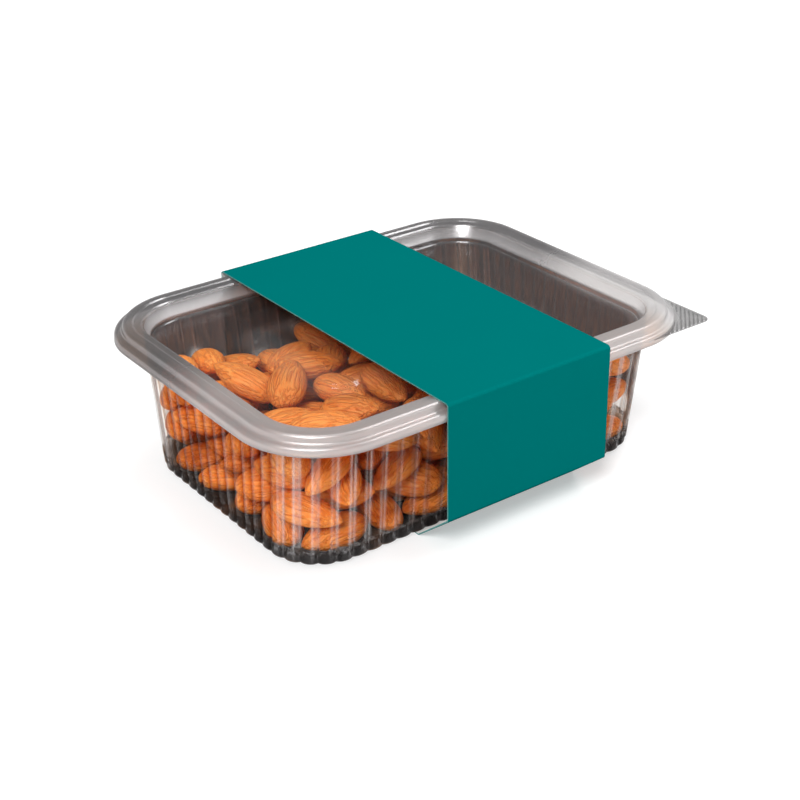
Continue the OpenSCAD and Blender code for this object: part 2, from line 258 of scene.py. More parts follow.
skirtIn = rim["draft"] / 2
ridgeIn = skirtIn + rim["flange"]
ledgeIn = ridgeIn + rim["draft"] + rim["ridgeW"]
recessIn = ledgeIn + rim["draft"] + rim["ledgeW"]
footIn = wall["inset"] + wall["depth"] + pack["sheet"] + pack["gap"]
plugIn = footIn + 0.3 + pack["sheet"]
lidCorners = [
    (0, flangeTop - rim["skirt"]),
    (skirtIn, flangeTop),
    (ridgeIn, flangeTop),
    (ridgeIn + rim["draft"], pack["topZ"]),
    (ledgeIn, pack["topZ"]),
    (ledgeIn + rim["draft"], pack["topZ"] - rim["ledgeDrop"]),
    (recessIn, pack["topZ"] - rim["ledgeDrop"]),
    (plugIn, shoulderZ + 2 * pack["sheet"]),
    (plugIn, panelZ + rim["draft"]),
    (plugIn + rim["draft"], panelZ),
]


# Clear sheet. What passes is tinted: clear where the smoke-and-shade attribute is 0 and dark where it is 1,
# which is a smoky tint on the tab and hinge and painted shade on the tray, the lid's rim and between the
# tab's ribs; brown painted shade in the grooves and gaps that "line" marks; darker at a slant. What is
# mirrored grows with (1 - cosine of the viewing angle) to a power, and the painted-sheen attribute adds a
# satin painted sheen with painted highlights where it is laid.

def clearSheet(name, look):
    # Shader = what passes, mixed with gloss by mirror + haze + painted sheen
    material, tree = newMaterial(name)
    facing = addNode(tree, "ShaderNodeLayerWeight", {"Blend": 0.5}).outputs["Facing"]
    smokeAndPaintedShade = addNode(tree, "ShaderNodeAttribute", attribute_name="smokeAndPaintedShade").outputs["Fac"]
    line = addNode(tree, "ShaderNodeAttribute", attribute_name="line").outputs["Fac"]
    paintedSheen = addNode(tree, "ShaderNodeAttribute", attribute_name="paintedSheen").outputs["Fac"]
    place = addNode(tree, "ShaderNodeTexCoord").outputs["Object"]
    rise = (1.0, 1.0, look["streakRise"])
    tall = addNode(tree, "ShaderNodeMapping", {"Vector": place, "Scale": rise}).outputs[0]
    streaks = addNode(tree, "ShaderNodeTexNoise",
                      {"Vector": tall, "Scale": look["streakScale"], "Detail": 3.0}).outputs[0]
    waves = addNode(tree, "ShaderNodeTexNoise", {"Vector": place, "Scale": look["waveScale"], "Detail": 1.0})
    tint = mixColour(tree, smokeAndPaintedShade, (*look["clear"], 1), (*look["smokyAndPaintedShade"], 1))
    tint = mixColour(tree, mathNode(tree, "MULTIPLY", line, look["lineShare"]), tint, (*look["grooveShadeTint"], 1))
    slant = mathNode(tree, "POWER", facing, look["slantPower"])
    tint = mixColour(tree, slant, tint, (*look["slantTint"], 1))
    lampRay = addNode(tree, "ShaderNodeLightPath").outputs["Is Shadow Ray"]
    lampRay = mathNode(tree, "MULTIPLY", lampRay, look["lampShare"])
    tint = mixColour(tree, lampRay, tint, (0.99, 0.99, 0.99, 1))
    through = addNode(tree, "ShaderNodeBsdfTransparent", {"Color": tint})
    mirror = mathNode(tree, "MULTIPLY_ADD", mathNode(tree, "POWER", facing, look["mirrorPower"]),
                      look["mirrorSlant"], look["mirror"])
    unlined = mathNode(tree, "MULTIPLY_ADD", line, -look["lineShare"], 1.0)
    mirror = mathNode(tree, "MULTIPLY", mirror, unlined)
    haze = mathNode(tree, "MULTIPLY", smokeAndPaintedShade, look["smokeHaze"])
    haze = mathNode(tree, "MULTIPLY", haze, mathNode(tree, "MULTIPLY_ADD", streaks, *look["hazeUneven"]))
    uneven = look["paintedSheenUneven"]
    paintedSheen = mathNode(tree, "MULTIPLY", paintedSheen, mathNode(tree, "MULTIPLY_ADD", streaks, uneven, 1 - uneven / 2))
    solid = mathNode(tree, "ADD", mathNode(tree, "ADD", mirror, haze), paintedSheen)
    bump = addNode(tree, "ShaderNodeBump",
                   {"Height": waves.outputs[0], "Strength": look["waveStrength"], "Distance": 0.0004})
    spread = look["roughnessSpread"]
    roughness = mathNode(tree, "MULTIPLY_ADD", streaks, spread, look["roughness"] - spread / 2)
    roughness = mathNode(tree, "MULTIPLY_ADD", paintedSheen, look["paintedSheenRoughness"], roughness)
    gloss = addNode(tree, "ShaderNodeBsdfPrincipled", {
        "Base Color": (*look["gloss"], 1),
        "Metallic": look["metallic"],
        "Roughness": roughness,
        "Normal": bump.outputs[0],
    })
    shader = addNode(tree, "ShaderNodeMixShader", {0: solid, 1: through.outputs[0], 2: gloss.outputs[0]})
    finishMaterial(tree, shader.outputs[0])
    return material


def layer(piece, name, values, kind="FLOAT"):
    # A number or vector for each point, which the piece's material reads by its name
    attribute = piece.data.attributes.new(name, kind, "POINT")
    key = "vector" if kind == "FLOAT_VECTOR" else "value"
    attribute.data.foreach_set(key, np.ravel(values).astype(float))


sheetLook = {
    "clear": (0.992, 0.988, 0.984),
    # Dark tint: the lid rim's painted shade and the hinge's smoky tint
    "smokyAndPaintedShade": (0.43, 0.42, 0.425),
    "slantTint": (0.42, 0.39, 0.38),
    "slantPower": 5.0,
    "grooveShadeTint": (0.3, 0.16, 0.08),
    "lineShare": 0.0,
    "mirror": 0.008,
    "mirrorSlant": 0.14,
    "mirrorPower": 3.5,
    "smokeHaze": 0.05,
    "hazeUneven": (1.6, 0.2),
    "gloss": (0.86, 0.85, 0.86),
    "metallic": 0.7,
    "roughness": 0.08,
    "roughnessSpread": 0.06,
    "paintedSheenRoughness": 0.8,
    "paintedSheenUneven": 0.0,
    "lampShare": 0.99,
    "streakScale": 700.0,
    "streakRise": 0.06,
    "waveScale": 60.0,
    "waveStrength": 0.15,
}
trayLook = {
    **sheetLook,
    "clear": (0.992, 0.982, 0.972),
    "mirror": 0.004,
    "mirrorSlant": 0.35,
    "mirrorPower": 5.0,
    # Dark tint where the tray's painted shade is full
    "smokyAndPaintedShade": (0.2, 0.175, 0.17),
    "paintedSheenUneven": 1.2,
    # Brown painted shade in the grooves and in the gaps between almonds
    "grooveShadeTint": (0.68, 0.46, 0.3),
    "lineShare": 0.9,
    "smokeHaze": 0.012,
    "roughness": 0.1,
}
# The tab's dark tint: smoky everywhere, with painted shade between its ribs
tabLook = {**sheetLook, "smokyAndPaintedShade": (0.36, 0.36, 0.36), "smokeHaze": 0.08}
# Painted sheen and painted highlights: bands and glints on the tray's reeds, sheen on the rims, a highlight
# on the lid's recess wall and on the field's step
paintedSheenBands = {
    "side": (0.2, 0.02, 0.0, 0.0, 0.0, 0.0, 0.02, 0.2, 0.07, 0.08),  # across one reed, from its groove on
    "end": (0.0, 0.0, 0.0, 0.01, 0.06, 0.01, 0.0, 0.0, 0.0, 0.0),
    "reedStrength": (0.25, 1.25),
    "seed": 5,
    "open": 0.07,
    "foot": 0.2,
    "rim": 0.26,
    "rimClear": 1.75,  # the rim's painted sheen where it is clear, and how much less it is where the rim has its painted shade
    "rimShaded": 1.1,
    "nestedRim": 0.4,
    "recess": 0.5,
    "recessLeast": 0.2,
    "recessReach": 40.0,
    "field": 0.05,
}
rimDepth = {"front": 0.06, "back": 1.0, "from": -18.0, "to": 18.0}


def rimPaintedShade(points):
    # Share of the rim's painted shade, a darker tint: low at the front, full at the back, eased between the
    # two depths
    t = np.clip((points[:, 1] - rimDepth["from"]) / (rimDepth["to"] - rimDepth["from"]), 0, 1)
    return rimDepth["front"] + (rimDepth["back"] - rimDepth["front"]) * t * t * (3 - 2 * t)


lidMaterial = clearSheet("clearLid", sheetLook)
trayMaterial = clearSheet("clearTray", trayLook)
tabMaterial = clearSheet("ribbedTab", tabLook)


# Packed almonds' places, which both the heap and the tray's look need

def solidsOf(node):
    # Splits the node's loose triangles into its solids: equal corners are merged, then every corner takes
    # the lowest label among its triangles' corners until none changes
    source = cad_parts[node].data
    corners = np.empty(len(source.vertices) * 3)
    source.vertices.foreach_get("co", corners)
    index = np.empty(len(source.loops), int)
    source.loops.foreach_get("vertex_index", index)
    merged, back = np.unique(np.round(corners.reshape(-1, 3) / mm, 3), axis=0, return_inverse=True)
    triangles = back.ravel()[index].reshape(-1, 3)
    label = np.arange(len(merged))
    while True:
        least = label[triangles].min(1)
        new = label.copy()
        np.minimum.at(new, triangles, least[:, None])
        if (new == label).all():
            break
        label = new
    return merged, np.unique(label, return_inverse=True)[1].ravel()


def almondFrames(points, label):
    # Middle, axes and half sizes of each solid: the axes are those of its corners' spread, and the
    # length's axis points to the slimmer end
    count = label.max() + 1
    number = np.bincount(label, minlength=count)
    middle = np.stack([np.bincount(label, points[:, k], count) for k in range(3)], 1) / number[:, None]
    offset = points - middle[label]
    spread = np.zeros((count, 3, 3))
    np.add.at(spread, label, offset[:, :, None] * offset[:, None, :])
    axes = np.linalg.eigh(spread)[1][:, :, ::-1].copy()
    local = np.einsum("pk,pkj->pj", offset, axes[label])
    girth = np.hypot(local[:, 1], local[:, 2]) * np.sign(local[:, 0])
    slim = np.where(np.bincount(label, girth, count) > 0, -1.0, 1.0)
    axes[:, :, 0] *= slim[:, None]
    axes[:, :, 2] = np.cross(axes[:, :, 0], axes[:, :, 1])
    half = np.zeros((count, 3))
    np.maximum.at(half, label, np.abs(local))
    return middle, axes, half


almondMiddle, almondAxes, almondHalf = almondFrames(*solidsOf("almonds"))


def roomBehind(points, owner=None):
    # Distance to the nearest almond, other than each point's owner: with q the point in an almond's axes
    # over its half sizes, the distance is about (|q| - 1) / |q| of the distance to its middle
    nearest = np.full(len(points), 1e9)
    for index, (middle, axes, half) in enumerate(zip(almondMiddle, almondAxes, almondHalf)):
        offset = points - middle
        q = np.linalg.norm(offset @ axes / half, axis=1)
        room = (1 - 1 / np.maximum(q, 1e-6)) * np.linalg.norm(offset, axis=1)
        if owner is not None:
            room[owner == index] = 1e9
        nearest = np.minimum(nearest, room)
    return nearest


# Tray: base, bevelled foot, reeded wall and nested rim as one sheet, with painted shade on the wall. Where a
# value of the painted shade has two numbers, the second is for the upper part of the back and right walls.

wallPaintedShade = {
    "from": (4.0, 0.3),  # distance to the nearest almond at which the painted shade starts, in mm, and is full
    "to": (10.0, 4.5),
    "share": (0.2, 1.0),
    "height": (10.0, 16.0),  # the upper part sets in between these heights
    "back": 38.0,  # places along the pack's axes from which the back and right walls count, and their ease
    "right": 56.0,
    "ease": 12.0,
    "foot": 3.0,  # height of the painted shade at the foot
}


def makeTray():
    # Point = a ring of the rounded rectangle at each height, moved in by depth * |2 phase - 1| ^ power
    reedsEnd = round(2 * (wallY - wallR) / wall["pitch"])
    reedsSide = round(2 * (wallX - wallR) / wall["pitch"])
    reedsCorner = round(math.pi / 2 * wallR / wall["pitch"])
    columns = columnsAround([(reedsEnd, reedsCorner), (reedsSide, reedsCorner)] * 2, wall["pointsPerReed"])
    groove = np.abs(2 * columns["phase"] - 1) ** wall["power"]

    # Wall section as (height above the base, inset from the crest line), up to the shoulder
    foot = filletLine([(3.0, 0), (wall["bevel"], 0), (0, wall["bevel"]), (0, 6.0)], [0.7, 0.7], 4)[:, ::-1]
    top = wall["height"] - np.array([3.0, 2.0, 1.2, 0.6, 0.2])
    heights = np.concatenate([foot[:, 0], np.linspace(4.5, 40, 20), top])
    insets = np.concatenate([foot[:, 1], np.zeros(25)])
    down = 1 - heights / wall["height"]
    depth = wall["depth"] * np.sqrt(np.clip((wall["height"] - heights) / 2.2, 0, 1))
    depth *= np.clip(1 - (insets - wall["bevel"]) / 2.5, 0, 1)
    wallPart = ringsAround(
        columns,
        wallX - wall["endLean"] * down - insets,
        wallY - wall["sideLean"] * down - insets,
        wallR - insets,
        pack["baseZ"] + heights,
        depth[:, None] * groove,
    )

    # Rim section from the wall's top outwards to the lip, under the lid's
    nested = offsetLine(lidCorners, pack["sheet"] + pack["gap"])[:7]
    top = [(wall["inset"], shoulderZ + 0.6), (wall["inset"] + 0.05, nested[6][1])]
    corners = top + [tuple(point) for point in nested[5::-1]]
    line = filletLine(corners, [0.7, 0.6, 0.8, 0.9, 0.9, 0.9, 0.7], 4)
    rimPart = rimRings(columns, line)
    points = np.concatenate([wallPart, rimPart])
    rows, count = points.shape[:2]
    middle = rows * count
    faces = faceList(gridFaces(rows, count), fanFaces(np.arange(count), middle, flip=True))
    points = np.vstack([points.reshape(-1, 3), [[0, 0, pack["baseZ"]]]])
    tray = meshPiece("tray", points, faces, trayMaterial, "pack")

    # Painted shade, a dark tint: high on the back wall and on the right one it sets in close to the almonds.
    # Elsewhere it sets in only where a wide gap lies behind, and there it is mostly the grooves' brown; the
    # foot gets it too, and high on the back and right walls a painted sheen goes with it
    start, end = wallPaintedShade["height"]
    beyond = np.maximum(points[:, 1] - wallPaintedShade["back"], points[:, 0] - wallPaintedShade["right"])
    upper = np.clip((points[:, 2] - start) / (end - start), 0, 1) * np.clip(beyond / wallPaintedShade["ease"], 0, 1)
    near, far, share = (a + (b - a) * upper for a, b in (wallPaintedShade[key] for key in ("from", "to", "share")))
    smokeAndPaintedShade = np.clip((roomBehind(points) - near) / (far - near), 0, 1)
    upperPaintedSheen = paintedSheenBands["open"] * smokeAndPaintedShade * upper
    gap = smokeAndPaintedShade * (1 - upper)
    rise = points[:, 2] - pack["baseZ"]
    smokeAndPaintedShade = np.maximum(smokeAndPaintedShade * share, np.clip(1.5 - rise / wallPaintedShade["foot"], 0, 1))
    onWall = np.arange(len(points)) < len(wallPart) * count
    smokeAndPaintedShade = np.where(onWall | (points[:, 2] < 5), smokeAndPaintedShade * smokeAndPaintedShade * (3 - 2 * smokeAndPaintedShade), 0)
    layer(tray, "smokeAndPaintedShade", smokeAndPaintedShade)
    # Painted shade in the grooves: brown on the ends, faint on the sides, and the gaps' brown where a wide
    # gap lies behind
    onEnd = (columns["side"] % 2 == 0) & (columns["angle"] == 0)
    line = np.zeros(len(points))
    line[onWall] = np.tile(np.where(onEnd, groove ** 1.2, 0.3 * groove ** 3), len(wallPart))
    layer(tray, "line", np.maximum(line * (1 - smokeAndPaintedShade), gap))

    # Painted sheen lies in upright bands: a pale strip with two painted bright edges on the sides, a thin
    # painted highlight line on the ends, each reed with a strength of its own. At the foot it is painted
    # glints on the crests alone
    draw = np.random.default_rng(paintedSheenBands["seed"])
    step = np.round(columns["phase"] * wall["pointsPerReed"]).astype(int)
    reed = np.cumsum(step == 0)
    strength = draw.uniform(*paintedSheenBands["reedStrength"], reed.max() + 1)[reed]
    band = np.where(onEnd, np.array(paintedSheenBands["end"])[step], np.array(paintedSheenBands["side"])[step]) * strength
    paintedSheen = np.full(len(points), paintedSheenBands["nestedRim"] * paintedSheenBands["rim"])
    paintedSheen[onWall] = np.maximum(np.tile(band, len(wallPart)), upperPaintedSheen[onWall])
    paintedSheen[-1] = 0
    atFoot = np.clip(1 - rise / 5, 0, 1)
    crestPaintedGlint = np.append(np.tile(np.clip(1 - 2.2 * groove, 0, 1) * strength, rows), 0)
    crestPaintedGlint *= paintedSheenBands["foot"] * np.clip(points[:, 2] - 1.4, 0, 1)
    layer(tray, "paintedSheen", paintedSheen * (1 - atFoot) + crestPaintedGlint * atFoot)
    thicken(tray)
    return tray


# Lid: skirt, flange, ridge, ledge, plugging recess, panel and raised label field

lidField = {"length": 85.0, "width": 49.0, "radius": 8.5, "height": 1.0, "slope": 1.3}


def makeLid():
    # Point = the rim's section carried round, rings spread evenly to the field's outline, its step, and
    # rings shrunk to its middle
    columns = columnsAround([(12, 5), (19, 5)] * 2, 5)
    radii = [1.0, 0.9, 1.2, 1.2, 0.8, 1.0, 1.2, 0.8, 1.2]
    line = filletLine(lidCorners + [(plugIn + 3.5, panelZ)], radii, 5)
    rimPart = rimRings(columns, line)
    edge = line[-1, 0]
    start = (pack["halfX"] - edge, pack["halfY"] - edge, pack["cornerR"] - edge)
    end = (lidField["length"] / 2, lidField["width"] / 2, lidField["radius"])
    outside = np.array([0.25, 0.5, 0.75])[:, None]
    blend = [s + (e + 1.2 - s) * outside[:, 0] for s, e in zip(start, end)]
    spread = ringsAround(columns, *blend, np.full(3, panelZ))
    step = filletLine([(-1.2, 0), (-lidField["slope"] / 2, 0), (lidField["slope"] / 2, lidField["height"]),
                       (1.4, lidField["height"])], [0.8, 0.8], 5)
    stepPart = ringsAround(columns, *(e - step[:, 0] for e in end), panelZ + step[:, 1])
    shrink = np.array([0.75, 0.5, 0.25])
    inner = [(e - 1.4) * shrink for e in end]
    innerPart = ringsAround(columns, *inner, np.full(3, panelZ + lidField["height"]))
    points = np.concatenate([rimPart, spread, stepPart, innerPart])
    rows, count = points.shape[:2]
    middle = rows * count
    faces = faceList(gridFaces(rows, count), fanFaces((rows - 1) * count + np.arange(count), middle))
    points = np.vstack([points.reshape(-1, 3), [[0, 0, panelZ + lidField["height"]]]])
    lid = meshPiece("lid", points, faces, lidMaterial, "pack")

    # Painted shade on the rim, a darker tint growing towards the back, and painted sheen towards the front;
    # a painted highlight on the recess wall, strongest at its left end
    onRim = len(line) * count
    rimShare = np.clip((plugIn + 1.0 - line[:, 0]) / 1.5, 0, 1)
    smokeAndPaintedShade = np.zeros(len(points))
    smokeAndPaintedShade[:onRim] = np.repeat(rimShare, count)
    smokyAndPaintedShade = rimPaintedShade(points)
    layer(lid, "smokeAndPaintedShade", smokeAndPaintedShade * smokyAndPaintedShade)
    paintedSheen = paintedSheenBands["rim"] * smokeAndPaintedShade * (paintedSheenBands["rimClear"] - paintedSheenBands["rimShaded"] * smokyAndPaintedShade)
    recess = (line[:, 0] > plugIn - 1.0) * np.clip((line[:, 1] - panelZ - 0.6) / 1.5, 0, 1)
    least = paintedSheenBands["recessLeast"]
    share = least + (1 - least) * np.clip(-points[:onRim, 0] / paintedSheenBands["recessReach"], 0, 1)
    paintedSheen[:onRim] += paintedSheenBands["recess"] * np.repeat(recess, count) * share * smokyAndPaintedShade[:onRim]
    # Painted sheen on the label field's step, standing in for its highlight strokes
    fieldRows = len(line) + len(spread) + np.arange(len(step))
    paintedSheen[(fieldRows[:, None] * count + np.arange(count)).ravel()] = paintedSheenBands["field"]
    layer(lid, "paintedSheen", paintedSheen)
    thicken(lid)
    return lid


# Opening tab: the square corner outside the rim's round one, with grip ribs across its diagonal

tabShape = {
    "drop": 1.3,
    "inset": 0.2,
    "tipR": 2.6,
    "overlap": 0.35,
    "ribPitch": 1.35,
    "ribHeight": 0.3,
    "ribEase": 0.6,
    "plainRoot": 0.8,
    "smokeAndPaintedShade": (0.6, 0.4),  # a smoky tint everywhere, and painted shade added between the ribs
    "paintedSheen": 0.06,
}


def makeTab():
    # Point = corner's centre + distance along each direction, from the rim's arc out to the tab's outline;
    # height = rib height times the faded cosine of the place along the diagonal
    across, along = 120, 64
    angle = np.linspace(0, math.pi / 2, across)[:, None]
    radius = pack["cornerR"] - tabShape["overlap"]
    side = pack["cornerR"] - tabShape["inset"]
    tip = tabShape["tipR"]
    # Reach of the outline along each direction from the corner's centre: the square's sides, or the
    # tip's arc where the direction passes it
    straight = side / np.maximum(np.cos(angle), np.sin(angle))
    toTip = (side - tip) * math.sqrt(2)
    away = toTip * np.sin(angle - math.pi / 4)
    root = np.sqrt(np.maximum(tip ** 2 - away ** 2, 0))
    arc = toTip * np.cos(angle - math.pi / 4) + root
    inTip = np.abs(np.tan(np.abs(angle - math.pi / 4))) < tip / (2 * side - tip)
    reach = np.where(inTip, arc, straight)
    reach = np.maximum(reach, radius + 0.02)
    share = np.linspace(0, 1, along)[None, :]
    distance = radius + (reach - radius) * share
    x = distance * np.cos(angle)
    y = -distance * np.sin(angle)
    diagonal = (x - y) / math.sqrt(2)
    ease = tabShape["ribEase"]
    fade = np.clip((reach - distance) / ease, 0, 1)
    fade = fade * np.clip((distance - radius - tabShape["plainRoot"]) / ease, 0, 1)
    rib = 0.5 + 0.5 * np.cos(2 * math.pi * (diagonal - radius) / tabShape["ribPitch"])
    z = flangeTop - tabShape["drop"] + tabShape["ribHeight"] * fade * rib
    centreX, centreY = pack["halfX"] - pack["cornerR"], -(pack["halfY"] - pack["cornerR"])
    points = np.stack([centreX + x, centreY + y, z], -1)
    faces = faceList(gridFaces(across, along, closed=False))
    tab = meshPiece("openingTab", points, faces, tabMaterial, "pack")
    # Painted shade between the ribs and a painted highlight on their crests
    least, more = tabShape["smokeAndPaintedShade"]
    layer(tab, "smokeAndPaintedShade", least + more * fade * (1 - rib))
    layer(tab, "paintedSheen", tabShape["paintedSheen"] * fade * rib)
    thicken(tab)
    return tab


# Hinge: the fold that joins the two flanges along the back

hingeShape = {"length": 98.0, "tongue": 1.6, "smokeAndPaintedShade": 0.6}


def makeHinge():
    # Section = a half circle between two straight tongues, carried along the hinge's length
    length, tongue = hingeShape["length"], hingeShape["tongue"]
    radius = (2 * pack["sheet"] + pack["gap"]) / 2
    turn = np.linspace(-math.pi / 2, math.pi / 2, 13)
    y = np.concatenate([[-tongue], radius * np.cos(turn), [-tongue]])
    z = np.concatenate([[-radius], radius * np.sin(turn), [radius]])
    x = np.linspace(-length / 2, length / 2, 40)
    section = np.stack([y + pack["halfY"] - radius, z + flangeTop - radius], -1)
    points = np.concatenate([
        np.broadcast_to(x[:, None, None], (len(x), len(y), 1)),
        np.broadcast_to(section[None], (len(x), len(y), 2)),
    ], -1)
    faces = faceList(gridFaces(len(x), len(y), closed=False))
    hinge = meshPiece("livingHinge", points, faces, lidMaterial, "pack")
    layer(hinge, "smokeAndPaintedShade", np.full(len(x) * len(y), hingeShape["smokeAndPaintedShade"]))
    thicken(hinge)
    return hinge


tray, lid, tab, hinge = makeTray(), makeLid(), makeTab(), makeHinge()
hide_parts("clamshell")
print("clamshell made")


# Almonds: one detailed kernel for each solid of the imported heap, at that solid's own place and size

almondShape = {
    "rings": 20,
    "sides": 18,
    "bluntPower": 0.54,
    "tipPower": 0.74,
    "ridge": 0.03,
    "bend": 0.05,
    "seed": 11,
}


def makeAlmonds(material):
    # Point = solid's middle + its axes times its half sizes times the kernel form below
    middle, axes, half = almondMiddle, almondAxes, almondHalf
    count, rings, sides = len(middle), almondShape["rings"], almondShape["sides"]
    draw = np.random.default_rng(almondShape["seed"])
    # Kernel form: u runs from the blunt end (-1) to the tip (1), girth = (1 + u)^blunt (1 - u)^tip over its
    # greatest value
    u = -np.cos(np.linspace(0, math.pi, rings + 2)[1:-1])
    bluntPower, tipPower = almondShape["bluntPower"], almondShape["tipPower"]
    widest = (bluntPower - tipPower) / (bluntPower + tipPower)
    angle = 2 * math.pi * np.arange(sides) / sides
    taper = ((1 + u) / (1 + widest)) ** bluntPower * ((1 - u) / (1 - widest)) ** tipPower
    ridges = np.zeros((count, 1, sides))
    for waves in (2, 3, 5, 7):
        turn = draw.uniform(0, 2 * math.pi, (count, 1, 1))
        ridges = ridges + draw.uniform(0.3, 1.0, (count, 1, 1)) * np.cos(waves * angle[None, None] + turn)
    belly = (1 - u ** 2)[None, :, None]
    girth = taper[None, :, None] * (1 - almondShape["ridge"] * (1 + ridges / 2) * belly)
    bend = almondShape["bend"] * draw.uniform(-1, 1, (count, 1, 1)) * belly
    x = np.broadcast_to(u[None, :, None], girth.shape)
    y = girth * np.cos(angle) + bend
    z = girth * np.sin(angle)
    local = np.stack([x, y, z], -1).reshape(count, -1, 3)
    poles = np.broadcast_to(np.array([[-1.0, 0, 0], [1.0, 0, 0]]), (count, 2, 3))
    local = np.concatenate([local, poles], 1) * half[:, None]
    placed = middle[:, None] + np.einsum("nij,nkj->nki", axes, local)
    ring = np.arange(sides)
    size = rings * sides + 2
    bluntEnd = fanFaces(ring, rings * sides)
    tipEnd = fanFaces((rings - 1) * sides + ring, rings * sides + 1, flip=True)
    allFaces = []
    for first in np.arange(count) * size:
        allFaces += faceList(gridFaces(rings, sides)[:, ::-1] + first, bluntEnd + first, tipEnd + first)
    heap = meshPiece("almondHeap", placed, allFaces, material, "pack")
    # Skin space: squeezed along the kernel, so that a pattern in it runs lengthwise, and apart for each
    shift = draw.uniform(-50, 50, (count, 1, 3))
    layer(heap, "skin", local * [skinLook["stretch"], 1, 1] + shift, "FLOAT_VECTOR")
    layer(heap, "tone", np.broadcast_to(draw.uniform(0, 1, (count, 1)), (count, size)))
    # Distance to the nearest other almond, read by the skin's painted shade
    layer(heap, "room", roomBehind(placed.reshape(-1, 3), np.repeat(np.arange(count), size)))
    return heap


skinLook = {
    "light": (0.98, 0.36, 0.07),
    "middle": (0.97, 0.265, 0.03),
    "dark": (0.62, 0.12, 0.01),
    "paintedContactShade": (0.62, 0.38, 0.24),
    "paintedShadeReach": 1.5,
    "stretch": 0.11,
    "grain": 1.15,
    "furrow": 0.7,
    "furrowShare": 0.42,
    "bump": 0.8,
}


def almondSkin():
    # Colour = grain between dark and light, darkened along furrows and by each kernel's tone, with painted
    # shade where another almond lies close
    material, tree = newMaterial("almondSkin")
    skin = addNode(tree, "ShaderNodeAttribute", attribute_name="skin").outputs["Vector"]
    tone = addNode(tree, "ShaderNodeAttribute", attribute_name="tone").outputs["Fac"]
    fine = {"Vector": skin, "Scale": skinLook["grain"], "Detail": 5.0, "Roughness": 0.62}
    grain = addNode(tree, "ShaderNodeTexNoise", fine).outputs[0]
    coarse = {"Vector": skin, "Scale": skinLook["furrow"], "Detail": 2.0, "Distortion": 0.2}
    furrow = addNode(tree, "ShaderNodeTexNoise", coarse).outputs[0]
    lines = mathNode(tree, "ABSOLUTE", mathNode(tree, "SUBTRACT", furrow, 0.5))
    lines = mathNode(tree, "SMOOTH_MIN", mathNode(tree, "MULTIPLY", lines, 14.0), 1.0, 0.3)
    stops = [(0.26, skinLook["dark"]), (0.42, skinLook["middle"]), (0.6, skinLook["light"])]
    colour = ramp(tree, grain, stops)
    share = skinLook["furrowShare"]
    inFurrow = mathNode(tree, "MULTIPLY_ADD", lines, -share, share)
    colour = mixColour(tree, inFurrow, colour, (*skinLook["dark"], 1))
    toneAndPaintedShade = ramp(tree, tone, [(0.0, (0.8, 0.76, 0.72)), (0.6, (1.0, 1.0, 1.0)), (1.0, (1.1, 1.12, 1.15))])
    colour = mixColour(tree, 1.0, colour, toneAndPaintedShade, "MULTIPLY")
    # Painted shade: within reach of another almond the colour is taken towards a darker tint
    room = addNode(tree, "ShaderNodeAttribute", attribute_name="room").outputs["Fac"]
    near = addNode(tree, "ShaderNodeMapRange", {0: room, 1: 0.0, 2: skinLook["paintedShadeReach"], 3: 0.0, 4: 1.0},
                   interpolation_type="SMOOTHSTEP").outputs[0]
    toneAndPaintedShade = mixColour(tree, near, (*skinLook["paintedContactShade"], 1), (1, 1, 1, 1))
    colour = mixColour(tree, 1.0, colour, toneAndPaintedShade, "MULTIPLY")
    height = mathNode(tree, "ADD", mathNode(tree, "MULTIPLY", lines, 0.6), grain)
    bump = addNode(tree, "ShaderNodeBump",
                   {"Height": height, "Strength": skinLook["bump"], "Distance": 0.0006})
    shader = addNode(tree, "ShaderNodeBsdfPrincipled", {
        "Base Color": colour,
        "Roughness": 0.5,
        "Specular IOR Level": 0.4,
        "Normal": bump.outputs[0],
    })
    finishMaterial(tree, shader.outputs[0])
    return material


heap = makeAlmonds(almondSkin())
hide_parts("almonds")
print("almonds made")


# Sleeve: a card band folded round the pack, with its glued lap

card = {
    "thick": 0.4,
    "slideGap": 0.15,
    "foldZ": 11.6,
    "foldR": 1.2,
    "lap": 11.0,
    "cut": 0.06,  # soft edge of the cut card
    "colour": (0.0, 0.142, 0.138),
    "cloud": (0.0, 0.22, 0.21),
    "inside": ((0.78, 0.78, 0.76), (0.86, 0.86, 0.84)),
    "core": ((0.05, 0.22, 0.21), (0.12, 0.32, 0.31)),
}


def cardMaterial():
    # Colour = the print's, a tenth of the way to its cloudy tone by a broad noise; bump = fine fibre
    material, tree = newMaterial("tealCard")
    place = addNode(tree, "ShaderNodeTexCoord").outputs["Object"]
    fibre = addNode(tree, "ShaderNodeTexNoise", {"Vector": place, "Scale": 900.0, "Detail": 3.0}).outputs[0]
    cloud = addNode(tree, "ShaderNodeTexNoise", {"Vector": place, "Scale": 35.0, "Detail": 2.0}).outputs[0]
    cloud = mathNode(tree, "MULTIPLY", cloud, 0.1)
    colour = mixColour(tree, cloud, (*card["colour"], 1), (*card["cloud"], 1))
    bump = addNode(tree, "ShaderNodeBump", {"Height": fibre, "Strength": 0.12, "Distance": 0.00006})
    shader = addNode(tree, "ShaderNodeBsdfPrincipled", {
        "Base Color": colour,
        "Roughness": 0.55,
        "Specular IOR Level": 0.0,
        "Normal": bump.outputs[0],
    })
    finishMaterial(tree, shader.outputs[0])
    return material


